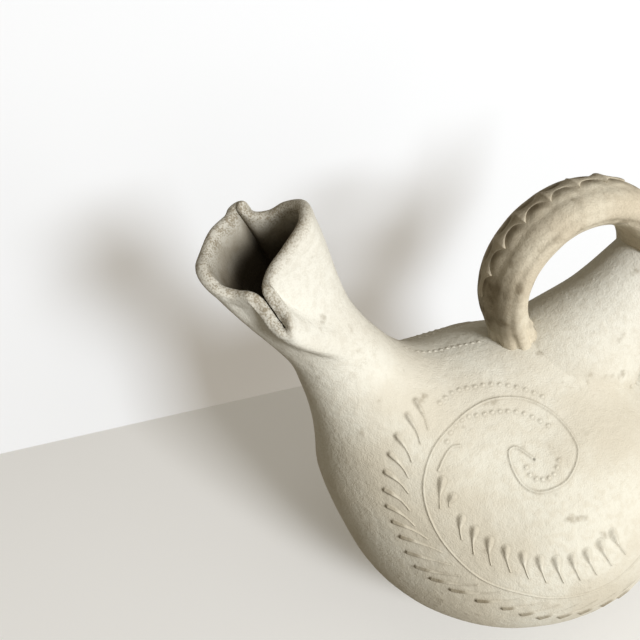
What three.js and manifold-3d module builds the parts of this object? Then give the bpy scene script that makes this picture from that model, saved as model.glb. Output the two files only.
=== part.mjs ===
// A hen-shaped pouring pitcher of unglazed fired clay, built by hand from luted pieces.
// Millimetres, +Z up. The hen faces -X and the origin is on the floor below the middle of the belly.

import * as THREE from "three";
import { mergeVertices } from "three/addons/utils/BufferGeometryUtils.js";
import Module from "manifold-3d";

const wasm = await Module();
wasm.setup();

// Clearances and walls

const JOINT_GAP = 0.3;
const WALL = 6;
const FLOOR_THICKNESS = 8;

// The belly, made as a bowl and a shoulder that meet at its widest height

const BELLY_LENGTH = 175;
const BELLY_WIDTH = 160;
const BELLY_HEIGHT = 144;
const FOOT_SINK = 4;
const SEAM_HEIGHT = 68;
const BELLY_SIDES = 44;
const BELLY_ROWS = 36;
const ROW_CROWDING = 1.5;

// The neck, which leans forward and ends at the collar

const COLLAR_CENTRE = new THREE.Vector3(-93, 0, 160);
const COLLAR_RADIUS = 18.5;
const NECK_LEAN = THREE.MathUtils.degToRad(30);
const NECK_LENGTH = 56;
const NECK_ROOT_RADIUS = 32;
const NECK_BLEND = 42;
const NECK_OVERRUN = 1.4;
const SEARCH_STEPS = 40;
const POLE_REACH = 0.002;

// The rump, a low ridge on the back that carries the handle's front foot and the tail

const RUMP_START = new THREE.Vector3(-20, 0, 120);
const RUMP_END = new THREE.Vector3(20, 0, 138);
const RUMP_START_RADIUS = 24;
const RUMP_END_RADIUS = 20;
const RUMP_BLEND = 24;

// The spout. Its lip runs round these places: forward, sideways and height above the collar.
// The two folds at the sides come between them, where the front and rear lips are pinched together.

const SPOUT_WALL = 4.2;
const SPOUT_ROWS = 14;
const SPOUT_SIDES = 72;
const SPOUT_WAIST = 0.2;
const LIP_START = THREE.MathUtils.degToRad(10);
const FRONT_LIP = [
  [16.9, 5, 66],
  [20.2, -4, 66],
  [19.6, -10.4, 61.4],
  [15.2, -13.4, 55.2],
];
const REAR_LIP = [
  [0.2, -16.2, 56.4],
  [-8.8, -13.2, 58.6],
  [-18.6, -8.5, 61],
  [-21.4, 1, 61.6],
  [-16, 10, 60.6],
  [-9.6, 13.6, 59.6],
];
const FAR_FRONT_LIP = [[10.2, 13, 66.8]];

// A fold's two legs lie side by side, the slit apart. Each leans away from the other at its start.
// Its heights are the front leg's start and end, the tip, and the rear leg's end and start.

const NEAR_FOLD = {
  forward: 7.4,
  from: -18.2,
  to: -22.8,
  turn: -90,
  slit: 0.6,
  lean: 0.5,
  heights: [52.8, 42, 37.5, 46, 53.2],
};
const FAR_FOLD = {
  forward: -0.4,
  from: 15.4,
  to: 17.4,
  turn: 100,
  slit: 0.6,
  lean: 1.6,
  heights: [66.8, 66.6, 66.8, 67, 62.4],
};
const FOLD_STEPS = 4;

// The handle: one straight leg on the back, then a round loop that ends in the tail

const HANDLE_LOOP_RADIUS = 35.3;
const HANDLE_CENTRE = new THREE.Vector3(18.5, 0, 176.1);
const HANDLE_WIDTH = 30;
const HANDLE_THICKNESS = 17.7;
const HANDLE_RIBS = 8;
const HANDLE_FLUTE_DEPTH = 1;
const HANDLE_ROOT_FLARE = 1.08;
const HANDLE_FLARE_POWER = 6;
const HANDLE_LEG_LENGTH = 20;
const HANDLE_FOOT_WIDTH = 19;
const HANDLE_FOOT_REACH = 34;
const LEG_ANGLE = THREE.MathUtils.degToRad(208);
const LOOP_END = THREE.MathUtils.degToRad(5);
const HANDLE_ROWS = 38;
const HANDLE_SIDES = 32;

// The pinched strip along the top of the loop

const CREST_HALF_WIDTH = 1.6;
const CREST_PINCH = 4.7;
const CREST_FAR_PINCH = 0.5;
const CREST_THICKNESS = 1.5;
const CREST_SHIFT = 3.6;
const CREST_END_SHARE = 0.3;
const CREST_END_SLOPE = 8;
const CREST_SPACING = 12.9;
const CREST_START = THREE.MathUtils.degToRad(186);
const CREST_END = THREE.MathUtils.degToRad(68.9);
const CREST_ROWS_PER_PINCH = 6;
const CREST_SIDES = 10;

// The tail

const TAIL_START = new THREE.Vector3(3, 0, 112);
const TAIL_BEND = new THREE.Vector3(58, 0, 156);
const TAIL_TIP = new THREE.Vector3(100, 0, 244);
const TAIL_ROOT_HALF_HEIGHT = 36.5;
const TAIL_ROOT_HALF_WIDTH = 33;
const TAIL_TIP_HALF_HEIGHT = 12;
const TAIL_TIP_HALF_WIDTH = 5;
const TAIL_ROUND_FROM = 0.7;
const TAIL_BLUNTNESS = 0.06;
const TAIL_ROWS = 20;
const TAIL_SIDES = 24;

// Colours of the clay

const CLAY = { color: 0xe3dcc0, roughness: 0.92, metalness: 0 };
const STAINED_CLAY = { color: 0xcfc49e, roughness: 0.95, metalness: 0 };

// Solids and meshes

const ROOM = 600;

function toSolid(geometry) {
  const bare = geometry.clone();
  bare.deleteAttribute("normal");
  bare.deleteAttribute("uv");
  const merged = mergeVertices(bare, 1e-4);
  const mesh = new wasm.Mesh({
    numProp: 3,
    vertProperties: new Float32Array(merged.attributes.position.array),
    triVerts: new Uint32Array(merged.index.array),
  });
  return new wasm.Manifold(mesh);
}

function toGeometry(solid) {
  const mesh = solid.getMesh();
  const geometry = new THREE.BufferGeometry();
  geometry.setAttribute("position", new THREE.BufferAttribute(new Float32Array(mesh.vertProperties), 3));
  geometry.setIndex(new THREE.BufferAttribute(new Uint32Array(mesh.triVerts), 1));
  geometry.computeVertexNormals();
  return geometry;
}

function loft(rings) {
  const sides = rings[0].length;
  const positions = rings.flat().flatMap((point) => point.toArray());
  const index = [];
  for (let ring = 0; ring < rings.length - 1; ring += 1) {
    for (let side = 0; side < sides; side += 1) {
      const next = (side + 1) % sides;
      const here = ring * sides;
      const above = here + sides;
      index.push(here + side, here + next, above + next);
      index.push(here + side, above + next, above + side);
    }
  }
  const first = positions.length / 3;
  const last = first + 1;
  positions.push(...centroid(rings[0]).toArray(), ...centroid(rings.at(-1)).toArray());
  const top = (rings.length - 1) * sides;
  for (let side = 0; side < sides; side += 1) {
    const next = (side + 1) % sides;
    index.push(first, next, side);
    index.push(last, top + side, top + next);
  }
  const geometry = new THREE.BufferGeometry();
  geometry.setAttribute("position", new THREE.Float32BufferAttribute(positions, 3));
  geometry.setIndex(index);
  return geometry;
}

function centroid(points) {
  const sum = new THREE.Vector3();
  points.forEach((point) => sum.add(point));
  return sum.divideScalar(points.length);
}

// The belly, neck and rump as one blended surface

const neckAxis = new THREE.Vector3(-Math.sin(NECK_LEAN), 0, Math.cos(NECK_LEAN));
const neckRoot = COLLAR_CENTRE.clone().addScaledVector(neckAxis, -NECK_LENGTH);
const bellyRadii = new THREE.Vector3(BELLY_LENGTH / 2, BELLY_WIDTH / 2, BELLY_HEIGHT / 2);
const bellyCentre = new THREE.Vector3(0, 0, BELLY_HEIGHT / 2 - FOOT_SINK);

function bellyDistance(point, inset) {
  const radii = bellyRadii.clone().subScalar(inset);
  const offset = point.clone().sub(bellyCentre);
  const unit = offset.clone().divide(radii);
  const gradient = unit.clone().divide(radii).length();
  return gradient === 0 ? -radii.x : (unit.length() * (unit.length() - 1)) / gradient;
}

function neckDistance(point, inset) {
  const offset = point.clone().sub(neckRoot);
  const along = THREE.MathUtils.clamp(offset.dot(neckAxis), 0, NECK_LENGTH * NECK_OVERRUN);
  const share = Math.min(along / NECK_LENGTH, 1);
  const radius = THREE.MathUtils.lerp(NECK_ROOT_RADIUS, COLLAR_RADIUS, share) - inset;
  return offset.addScaledVector(neckAxis, -along).length() - radius;
}

function blend(first, second, reach) {
  const overlap = Math.max(reach - Math.abs(first - second), 0) / reach;
  return Math.min(first, second) - (overlap * overlap * reach) / 4;
}

function rumpDistance(point, inset) {
  const spine = RUMP_END.clone().sub(RUMP_START);
  const offset = point.clone().sub(RUMP_START);
  const share = THREE.MathUtils.clamp(offset.dot(spine) / spine.lengthSq(), 0, 1);
  const radius = THREE.MathUtils.lerp(RUMP_START_RADIUS, RUMP_END_RADIUS, share) - inset;
  return offset.addScaledVector(spine, -share).length() - radius;
}

function vesselDistance(point, inset) {
  const front = blend(bellyDistance(point, inset), neckDistance(point, inset), NECK_BLEND);
  return blend(front, rumpDistance(point, inset), RUMP_BLEND);
}

function outwardTo(distance, centre, direction) {
  let near = 0;
  let far = BELLY_LENGTH;
  for (let step = 0; step < SEARCH_STEPS; step += 1) {
    const middle = (near + far) / 2;
    const point = centre.clone().addScaledVector(direction, middle);
    if (distance(point) < 0) near = middle;
    else far = middle;
  }
  return centre.clone().addScaledVector(direction, near);
}

function vesselSolid(inset) {
  const side = new THREE.Vector3(0, 1, 0);
  const front = new THREE.Vector3().crossVectors(side, neckAxis);
  const centre = bellyCentre.clone().lerp(neckRoot, 0.5);
  const rings = [];
  for (let row = 0; row <= BELLY_ROWS; row += 1) {
    const fall = Math.PI * Math.pow(1 - row / BELLY_ROWS, ROW_CROWDING);
    const reach = Math.max(Math.sin(fall), POLE_REACH);
    const ring = [];
    for (let step = 0; step < BELLY_SIDES; step += 1) {
      const turn = (2 * Math.PI * step) / BELLY_SIDES;
      const direction = neckAxis.clone().multiplyScalar(Math.cos(fall));
      direction.addScaledVector(front, reach * Math.cos(turn));
      direction.addScaledVector(side, reach * Math.sin(turn)).normalize();
      ring.push(outwardTo((point) => vesselDistance(point, inset), centre, direction));
    }
    rings.push(ring);
  }
  return toSolid(loft(rings));
}

function spaceAbove(height) {
  const block = new THREE.BoxGeometry(ROOM, ROOM, ROOM);
  return toSolid(block.translate(0, 0, height + ROOM / 2));
}

function spaceBelow(height) {
  const block = new THREE.BoxGeometry(ROOM, ROOM, ROOM);
  return toSolid(block.translate(0, 0, height - ROOM / 2));
}

function spaceBeyondCollar() {
  const block = new THREE.BoxGeometry(ROOM, ROOM, ROOM);
  block.translate(0, 0, ROOM / 2);
  block.rotateY(-NECK_LEAN);
  return toSolid(block.translate(COLLAR_CENTRE.x, COLLAR_CENTRE.y, COLLAR_CENTRE.z));
}

function vesselWalls() {
  const outside = vesselSolid(0).subtract(spaceBelow(0));
  const chamber = vesselSolid(WALL).subtract(spaceBelow(FLOOR_THICKNESS));
  return outside.subtract(spaceBeyondCollar()).subtract(chamber);
}

// The spout: rings that open from the round collar to the pinched mouth

const spoutForward = new THREE.Vector3(-Math.cos(NECK_LEAN), 0, -Math.sin(NECK_LEAN));

function foldPlaces(fold) {
  const half = (SPOUT_WALL + fold.slit) / 2;
  const outward = THREE.MathUtils.degToRad(fold.turn);
  const side = Math.sign(fold.turn);
  const [frontStart, frontEnd, tip, rearEnd, rearStart] = fold.heights;
  const ahead = [fold.forward + half + fold.lean, fold.from, frontStart];
  const behind = [fold.forward - half - fold.lean, fold.from, rearStart];
  const round = [];
  for (let step = 0; step <= FOLD_STEPS; step += 1) {
    const share = (2 * step) / FOLD_STEPS;
    const turn = outward + (side * Math.PI * (share - 1)) / 2;
    const height =
      share < 1 ? THREE.MathUtils.lerp(frontEnd, tip, share) : THREE.MathUtils.lerp(tip, rearEnd, share - 1);
    round.push([fold.forward + half * Math.cos(turn), fold.to + half * Math.sin(turn), height]);
  }
  return [ahead, ...round, behind];
}

function lipLine() {
  const far = foldPlaces(FAR_FOLD).reverse();
  const places = [...FRONT_LIP, ...foldPlaces(NEAR_FOLD), ...REAR_LIP, ...far, ...FAR_FRONT_LIP];
  const knots = places.map((place) => new THREE.Vector3(...place));
  const curve = new THREE.CatmullRomCurve3(knots, true, "centripetal");
  return curve.getSpacedPoints(SPOUT_SIDES).slice(0, SPOUT_SIDES);
}

function lipOutline(line, offset) {
  return line.map((place, index) => {
    const before = line.at(index - 1);
    const after = line[(index + 1) % line.length];
    const along = new THREE.Vector2(after.x - before.x, after.y - before.y).normalize();
    return new THREE.Vector3(place.x - along.y * offset, place.y + along.x * offset, place.z);
  });
}

function spoutRings(outline, radius) {
  const rings = [];
  for (let row = 0; row <= SPOUT_ROWS; row += 1) {
    const share = row / SPOUT_ROWS;
    const open = share * share * (3 - 2 * share);
    rings.push(
      outline.map((lip, index) => {
        const turn = LIP_START - (2 * Math.PI * index) / outline.length;
        const round = radius - SPOUT_WAIST * share * lip.z * Math.pow(1 - share, 3);
        const forward = THREE.MathUtils.lerp(round * Math.cos(turn), lip.x, open);
        const sideways = THREE.MathUtils.lerp(round * Math.sin(turn), lip.y, open);
        const point = COLLAR_CENTRE.clone().addScaledVector(neckAxis, JOINT_GAP + share * lip.z);
        point.addScaledVector(spoutForward, forward);
        return point.add(new THREE.Vector3(0, sideways, 0));
      }),
    );
  }
  return rings;
}

function makeSpout() {
  const line = lipLine();
  const outside = spoutRings(lipOutline(line, SPOUT_WALL / 2), COLLAR_RADIUS);
  const inside = spoutRings(lipOutline(line, -SPOUT_WALL / 2), COLLAR_RADIUS - SPOUT_WALL);
  const below = inside[0].map((point) => point.clone().addScaledVector(neckAxis, -SPOUT_WALL));
  const above = inside.at(-1).map((point) => point.clone().addScaledVector(neckAxis, SPOUT_WALL));
  return toSolid(loft(outside)).subtract(toSolid(loft([below, ...inside, above])));
}

// The handle: a ribbed oval section that runs up the leg and round the loop

const loopLength = HANDLE_LOOP_RADIUS * (LEG_ANGLE - LOOP_END);

function loopPoint(angle) {
  const outward = new THREE.Vector3(Math.cos(angle), 0, Math.sin(angle));
  return { outward, point: HANDLE_CENTRE.clone().addScaledVector(outward, HANDLE_LOOP_RADIUS) };
}

function handlePoint(distance) {
  const past = distance - HANDLE_LEG_LENGTH;
  if (past > 0) return loopPoint(LEG_ANGLE - past / HANDLE_LOOP_RADIUS);
  const { outward, point } = loopPoint(LEG_ANGLE);
  const upward = new THREE.Vector3(outward.z, 0, -outward.x);
  return { outward, point: point.addScaledVector(upward, past) };
}

function handleSection(turn, width, grow) {
  const flute = HANDLE_FLUTE_DEPTH * (0.5 - 0.5 * Math.cos(HANDLE_RIBS * turn));
  return {
    thick: (HANDLE_THICKNESS / 2 - flute + grow) * Math.sin(turn),
    wide: (width / 2 - flute + grow) * Math.cos(turn),
  };
}

function handleRings(grow) {
  const rings = [];
  for (let row = 0; row <= HANDLE_ROWS; row += 1) {
    const share = row / HANDLE_ROWS;
    const distance = (HANDLE_LEG_LENGTH + loopLength) * share;
    const { outward, point } = handlePoint(distance);
    const flare = THREE.MathUtils.lerp(1, HANDLE_ROOT_FLARE, Math.pow(Math.abs(2 * share - 1), HANDLE_FLARE_POWER));
    const risen = THREE.MathUtils.smoothstep(distance, 0, HANDLE_FOOT_REACH);
    const width = THREE.MathUtils.lerp(HANDLE_FOOT_WIDTH, HANDLE_WIDTH, risen);
    const ring = [];
    for (let step = 0; step < HANDLE_SIDES; step += 1) {
      const { thick, wide } = handleSection((2 * Math.PI * step) / HANDLE_SIDES, width, grow);
      const place = point.clone().addScaledVector(outward, thick * flare);
      ring.push(place.add(new THREE.Vector3(0, wide * flare, 0)));
    }
    rings.push(ring);
  }
  return rings;
}

// The strip: a band bent over the top of the handle, pinched out to a point again and again

function crestRings() {
  const span = (CREST_START - CREST_END) * (HANDLE_LOOP_RADIUS + HANDLE_THICKNESS / 2);
  const pinches = Math.round(span / CREST_SPACING);
  const rows = pinches * CREST_ROWS_PER_PINCH;
  const rings = [];
  for (let row = 0; row <= rows; row += 1) {
    const share = row / rows;
    const { outward, point } = loopPoint(THREE.MathUtils.lerp(CREST_START, CREST_END, share));
    const pinch = 1 - Math.abs(Math.sin(Math.PI * pinches * share));
    const end = Math.min(1, CREST_END_SHARE + CREST_END_SLOPE * Math.min(share, 1 - share));
    const ring = [];
    for (let step = 0; step < CREST_SIDES; step += 1) {
      const turn = (2 * Math.PI * step) / CREST_SIDES;
      const far = THREE.MathUtils.lerp(1, CREST_FAR_PINCH, (1 + Math.cos(turn)) / 2);
      const half = (CREST_HALF_WIDTH + CREST_PINCH * pinch * far) * end;
      const wide = CREST_SHIFT + half * Math.cos(turn);
      const bend = Math.sqrt(1 - Math.pow((2 * wide) / HANDLE_WIDTH, 2));
      const thick = (HANDLE_THICKNESS / 2) * bend + CREST_THICKNESS * Math.sin(turn) * end;
      const place = point.clone().addScaledVector(outward, thick);
      ring.push(place.add(new THREE.Vector3(0, wide, 0)));
    }
    rings.push(ring);
  }
  return rings;
}

// The tail: a flattened lobe that rises from the back and carries the rear end of the handle

function tailRings(grow) {
  const spine = new THREE.QuadraticBezierCurve3(TAIL_START, TAIL_BEND, TAIL_TIP);
  const rings = [];
  for (let row = 0; row <= TAIL_ROWS; row += 1) {
    const share = row / TAIL_ROWS;
    const beyond = Math.max(share - TAIL_ROUND_FROM, 0) / (1 - TAIL_ROUND_FROM);
    const round = Math.max(Math.sqrt(1 - beyond * beyond), TAIL_BLUNTNESS);
    const high = THREE.MathUtils.lerp(TAIL_ROOT_HALF_HEIGHT, TAIL_TIP_HALF_HEIGHT, share) * round;
    const wide = THREE.MathUtils.lerp(TAIL_ROOT_HALF_WIDTH, TAIL_TIP_HALF_WIDTH, share) * round;
    const along = spine.getTangent(share);
    const across = new THREE.Vector3(-along.z, 0, along.x);
    const middle = spine.getPoint(share);
    const ring = [];
    for (let step = 0; step < TAIL_SIDES; step += 1) {
      const turn = (2 * Math.PI * step) / TAIL_SIDES;
      const place = middle.clone().addScaledVector(across, (high + grow) * Math.sin(turn));
      ring.push(place.add(new THREE.Vector3(0, (wide + grow) * Math.cos(turn), 0)));
    }
    rings.push(ring);
  }
  return rings;
}

// Pieces are cut where they meet, with the joint gap between them

function clearOfBody(solid) {
  return solid.subtract(vesselSolid(-JOINT_GAP));
}

function addPiece(group, name, solid, finish) {
  const mesh = new THREE.Mesh(toGeometry(solid), new THREE.MeshStandardMaterial(finish));
  mesh.name = name;
  group.add(mesh);
}

const walls = vesselWalls();
const handle = toSolid(loft(handleRings(0)));
const handleSeat = toSolid(loft(handleRings(JOINT_GAP)));
const crest = toSolid(loft(crestRings()));
const tail = toSolid(loft(tailRings(0)));
const tailSeat = toSolid(loft(tailRings(JOINT_GAP)));

const pitcher = new THREE.Group();
addPiece(pitcher, "bowl", walls.subtract(spaceAbove(SEAM_HEIGHT - JOINT_GAP)), CLAY);
addPiece(pitcher, "shoulder", walls.subtract(spaceBelow(SEAM_HEIGHT)), CLAY);
addPiece(pitcher, "spout", makeSpout(), CLAY);
addPiece(pitcher, "handle", clearOfBody(handle).subtract(tailSeat), STAINED_CLAY);
addPiece(pitcher, "handle_crest", clearOfBody(crest).subtract(handleSeat).subtract(tailSeat), STAINED_CLAY);
addPiece(pitcher, "tail", clearOfBody(tail), CLAY);

export default pitcher;
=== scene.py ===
"""The hen-shaped clay pitcher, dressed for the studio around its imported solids."""

import logging
import math
from dataclasses import dataclass
from enum import Enum

import bmesh
import bpy
import numpy as np
from mathutils import Matrix, Vector, noise


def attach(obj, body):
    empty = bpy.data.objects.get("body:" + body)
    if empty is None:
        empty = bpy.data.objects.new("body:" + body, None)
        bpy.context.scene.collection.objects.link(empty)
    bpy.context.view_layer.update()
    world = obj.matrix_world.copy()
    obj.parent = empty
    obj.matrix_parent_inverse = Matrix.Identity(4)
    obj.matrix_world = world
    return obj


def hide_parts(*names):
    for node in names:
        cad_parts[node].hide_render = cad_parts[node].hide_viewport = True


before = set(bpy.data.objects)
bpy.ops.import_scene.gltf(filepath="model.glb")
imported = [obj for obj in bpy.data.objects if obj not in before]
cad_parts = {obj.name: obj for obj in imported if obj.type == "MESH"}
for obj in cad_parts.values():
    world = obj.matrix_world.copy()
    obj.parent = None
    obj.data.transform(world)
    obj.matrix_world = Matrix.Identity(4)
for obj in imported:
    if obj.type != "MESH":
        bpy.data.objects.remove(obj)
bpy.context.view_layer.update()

MILLIMETRE = 0.001
ROOT_BODY = "root"
# How dark the painted shade is inside the vessel, inside the spout and in the spiral pits.
INSIDE_SHADE = 0.9
SHARP_ANGLE = math.radians(55.0)
log = logging.getLogger("pitcher")


class Side(Enum):
    """The hen's two flanks, as the sign of Y."""

    NEAR = -1.0
    FAR = 1.0


class ClaySlot(Enum):
    """The record's material slots."""

    CLAY = "clay"
    STAINED = "stained_clay"


def unit(vectors: np.ndarray) -> np.ndarray:
    """Vectors scaled to length one along the last axis."""
    return vectors / np.maximum(np.linalg.norm(vectors, axis=-1, keepdims=True), 1e-12)


def smooth_step(share: np.ndarray | float) -> np.ndarray | float:
    """An S curve from 0 to 1 over a share from 0 to 1, level at both ends."""
    held = np.clip(share, 0.0, 1.0)
    return held * held * (3.0 - 2.0 * held)


def soft_noise(points: np.ndarray, grain: float, seed: float) -> np.ndarray:
    """Smooth unevenness at some points.

    Args:
        points: places in millimetres, one a row.
        grain: the size of one bump in millimetres.
        seed: a shift that makes one unevenness differ from another.

    Returns:
        One value for each point, about -1 to 1.
    """
    shift = Vector((seed, -seed * 0.7, seed * 1.3))
    return np.array([noise.noise(Vector(point) / grain + shift) for point in points])


@dataclass(frozen=True)
class Wire:
    """A value in a node tree, from which sums, products and waves are made."""

    tree: bpy.types.NodeTree
    socket: bpy.types.NodeSocket

    def math(self, operation: str, other: "Wire | float" = 0.0) -> "Wire":
        """Adds one maths node.

        Args:
            operation: what the node does.
            other: its second value.

        Returns:
            The node's result.
        """
        node = self.tree.nodes.new("ShaderNodeMath")
        node.operation = operation
        self.tree.links.new(self.socket, node.inputs[0])
        if isinstance(other, Wire):
            self.tree.links.new(other.socket, node.inputs[1])
        else:
            node.inputs[1].default_value = other
        return Wire(self.tree, node.outputs["Value"])

    def __add__(self, other: "Wire | float") -> "Wire":
        return self.math("ADD", other)

    def __sub__(self, other: "Wire | float") -> "Wire":
        return self.math("SUBTRACT", other)

    def __mul__(self, other: "Wire | float") -> "Wire":
        return self.math("MULTIPLY", other)

    def __truediv__(self, other: "Wire | float") -> "Wire":
        return self.math("DIVIDE", other)

    def __pow__(self, other: "Wire | float") -> "Wire":
        return self.math("POWER", other)


@dataclass(frozen=True)
class Guide:
    """A smooth curve through a few chosen points."""

    knots: tuple[tuple[float, float], ...]

    def at(self, share: float) -> np.ndarray:
        """The point at a share from 0 to 1 of the knots, on a Catmull-Rom curve."""
        knots = np.array(self.knots)
        spans = len(knots) - 1
        place = min(max(share, 0.0), 1.0) * spans
        span = min(int(place), spans - 1)
        step = place - span
        before = knots[max(span - 1, 0)]
        start = knots[span]
        end = knots[span + 1]
        after = knots[min(span + 2, spans)]
        return 0.5 * (
            2.0 * start
            + (end - before) * step
            + (2.0 * before - 5.0 * start + 4.0 * end - after) * step**2
            + (3.0 * start - before - 3.0 * end + after) * step**3
        )

    def even(self, count: int) -> list[np.ndarray]:
        """Points spread evenly by length along the curve."""
        fine = np.array([self.at(step / 200.0) for step in range(201)])
        lengths = np.concatenate([[0.0], np.cumsum(np.linalg.norm(np.diff(fine, axis=0), axis=1))])
        wanted = np.linspace(0.0, lengths[-1], count)
        return [np.array([np.interp(w, lengths, fine[:, 0]), np.interp(w, lengths, fine[:, 1])]) for w in wanted]


@dataclass(frozen=True)
class Stroke:
    """One raised mark of thick slip, from a head to a tail, in millimetres on the surface."""

    path: np.ndarray
    head_width: float
    tail_width: float
    height: float
    head_soil_and_shade: float = 0.0


@dataclass(frozen=True)
class ClayFinish:
    """A matte fired clay with colour drift, grime in patches, rubbed edges and fine grit."""

    name: str
    slot: ClaySlot
    light: tuple[float, float, float]
    warm: tuple[float, float, float]
    grime: tuple[float, float, float]
    grime_share: float
    lip_share: float
    soil_and_shade_colour: tuple[float, float, float]
    soil_and_shade_share: float
    pale: tuple[float, float, float] = (0.70, 0.70, 0.66)
    pale_share: float = 0.0
    # The colour of the painted shade inside the vessel and the spout and in the spiral pits.
    deep_shade_colour: tuple[float, float, float] = (0.035, 0.026, 0.014)
    roughness: float = 0.9

    def material(self) -> bpy.types.Material:
        """Builds the node material.

        Returns:
            The material, with every pattern read from Object coordinates.
        """
        made = bpy.data.materials.new(self.name)
        made.use_nodes = True
        tree = made.node_tree
        tree.nodes.clear()
        out = tree.nodes.new("ShaderNodeOutputMaterial")
        shader = tree.nodes.new("ShaderNodeBsdfPrincipled")
        shader.inputs["Specular IOR Level"].default_value = 0.25
        tree.links.new(shader.outputs["BSDF"], out.inputs["Surface"])
        drift = self._noise(tree, 26.0, 4.0)
        mottle = self._noise(tree, 120.0, 6.0)
        blotch = self._noise(tree, 330.0, 3.0)
        grit = self._noise(tree, 1500.0, 2.0)
        colour = self._mix(self._ramp(drift, 0.38, 0.66), self.light, self.warm)
        stain = self._ramp(mottle, 0.66 - self.grime_share, 0.86 - self.grime_share * 0.5)
        colour = self._mix(self._ramp(blotch, 0.42, 0.68) * 0.45, colour, self.warm)
        colour = self._mix(self._ramp(self._height(tree), 0.11, 0.2) * self.pale_share, colour, self.pale)
        colour = self._mix(stain * 0.75, colour, self.grime)
        # Soil and painted shade from each vertex: settled soil, and painted shade in hollows, in creases, on the marks'
        # heads, down the handle's front and inside the spout.
        soil_and_shade_mix = (self._ramp(mottle, 0.3, 0.75) * 0.35 + 0.65) * self._attribute(tree, "soil_and_shade")
        colour = self._mix(soil_and_shade_mix * self.soil_and_shade_share, colour, self.soil_and_shade_colour)
        specks = self._ramp(grit * 0.65 + blotch * 0.35, 0.44, 0.6)
        colour = self._mix(specks * self._attribute(tree, "wear") * self.lip_share, colour, self.grime)
        # Painted shade, near black, inside the vessel and the spout and in the spiral pits.
        colour = self._mix(self._attribute(tree, "deep_shade"), colour, self.deep_shade_colour)
        tree.links.new(colour, shader.inputs["Base Color"])
        rough = mottle * 0.14 + (self.roughness - 0.08)
        tree.links.new(rough.socket, shader.inputs["Roughness"])
        bump = tree.nodes.new("ShaderNodeBump")
        bump.inputs["Strength"].default_value = 0.5
        bump.inputs["Distance"].default_value = 0.0008
        tree.links.new((grit * 0.6 + blotch + mottle).socket, bump.inputs["Height"])
        tree.links.new(bump.outputs["Normal"], shader.inputs["Normal"])
        return made

    @staticmethod
    def _height(tree: bpy.types.NodeTree) -> Wire:
        """The height above the floor, in metres."""
        place = tree.nodes.new("ShaderNodeTexCoord")
        parts = tree.nodes.new("ShaderNodeSeparateXYZ")
        tree.links.new(place.outputs["Object"], parts.inputs["Vector"])
        return Wire(tree, parts.outputs["Z"])

    @staticmethod
    def _attribute(tree: bpy.types.NodeTree, name: str) -> Wire:
        """A value that each vertex carries."""
        node = tree.nodes.new("ShaderNodeAttribute")
        node.attribute_name = name
        return Wire(tree, node.outputs["Fac"])

    @staticmethod
    def _noise(tree: bpy.types.NodeTree, scale: float, detail: float) -> Wire:
        """A noise pattern on Object coordinates."""
        place = tree.nodes.new("ShaderNodeTexCoord")
        node = tree.nodes.new("ShaderNodeTexNoise")
        node.inputs["Scale"].default_value = scale
        node.inputs["Detail"].default_value = detail
        tree.links.new(place.outputs["Object"], node.inputs["Vector"])
        return Wire(tree, node.outputs["Fac"])

    @staticmethod
    def _ramp(value: Wire, low: float, high: float) -> Wire:
        """A value that runs from 0 to 1 between two levels."""
        node = value.tree.nodes.new("ShaderNodeMapRange")
        node.interpolation_type = "SMOOTHSTEP"
        node.inputs["From Min"].default_value = low
        node.inputs["From Max"].default_value = high
        value.tree.links.new(value.socket, node.inputs["Value"])
        return Wire(value.tree, node.outputs["Result"])

    @staticmethod
    def _mix(share: Wire, first: tuple[float, float, float] | bpy.types.NodeSocket,
             second: tuple[float, float, float]) -> bpy.types.NodeSocket:
        """A colour between two others."""
        node = share.tree.nodes.new("ShaderNodeMix")
        node.data_type = "RGBA"
        share.tree.links.new(share.socket, node.inputs["Factor"])
        colours = [socket for socket in node.inputs if socket.type == "RGBA"]
        if isinstance(first, tuple):
            colours[0].default_value = (*first, 1.0)
        else:
            share.tree.links.new(first, colours[0])
        colours[1].default_value = (*second, 1.0)
        return next(socket for socket in node.outputs if socket.type == "RGBA")


BODY_CLAY = ClayFinish(
    name="body_clay", slot=ClaySlot.CLAY,
    light=(0.65, 0.625, 0.535), warm=(0.56, 0.515, 0.415), grime=(0.20, 0.16, 0.10),
    grime_share=0.04, lip_share=0.75, soil_and_shade_colour=(0.17, 0.135, 0.08), soil_and_shade_share=0.9, pale_share=0.45,
)
HANDLE_CLAY = ClayFinish(
    name="handle_clay", slot=ClaySlot.STAINED,
    light=(0.66, 0.61, 0.49), warm=(0.55, 0.485, 0.37), grime=(0.15, 0.115, 0.065),
    grime_share=0.11, lip_share=0.25, soil_and_shade_colour=(0.095, 0.068, 0.03), soil_and_shade_share=1.0,
)


@dataclass(frozen=True)
class ClayMesh:
    """A piece's mesh in millimetres, with what each vertex carries.

    Its values run from 0 to 1: wear where the clay is rubbed and speckled, soil_and_shade where earth has settled or
    shade is painted darker in hollows and creases, and deep_shade where the shade inside is painted dark.
    """

    vertices: np.ndarray
    faces: list[tuple[int, ...]]
    wear: np.ndarray
    soil_and_shade: np.ndarray
    deep_shade: np.ndarray

    def write(self, name: str) -> bpy.types.Mesh:
        """Makes the Blender mesh."""
        mesh = bpy.data.meshes.new(name)
        mesh.from_pydata((self.vertices * MILLIMETRE).tolist(), [], self.faces)
        mesh.validate()
        for label in ("wear", "soil_and_shade", "deep_shade"):
            layer = mesh.attributes.new(label, "FLOAT", "POINT")
            layer.data.foreach_set("value", np.asarray(getattr(self, label), dtype=np.float32))
        return mesh


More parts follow.
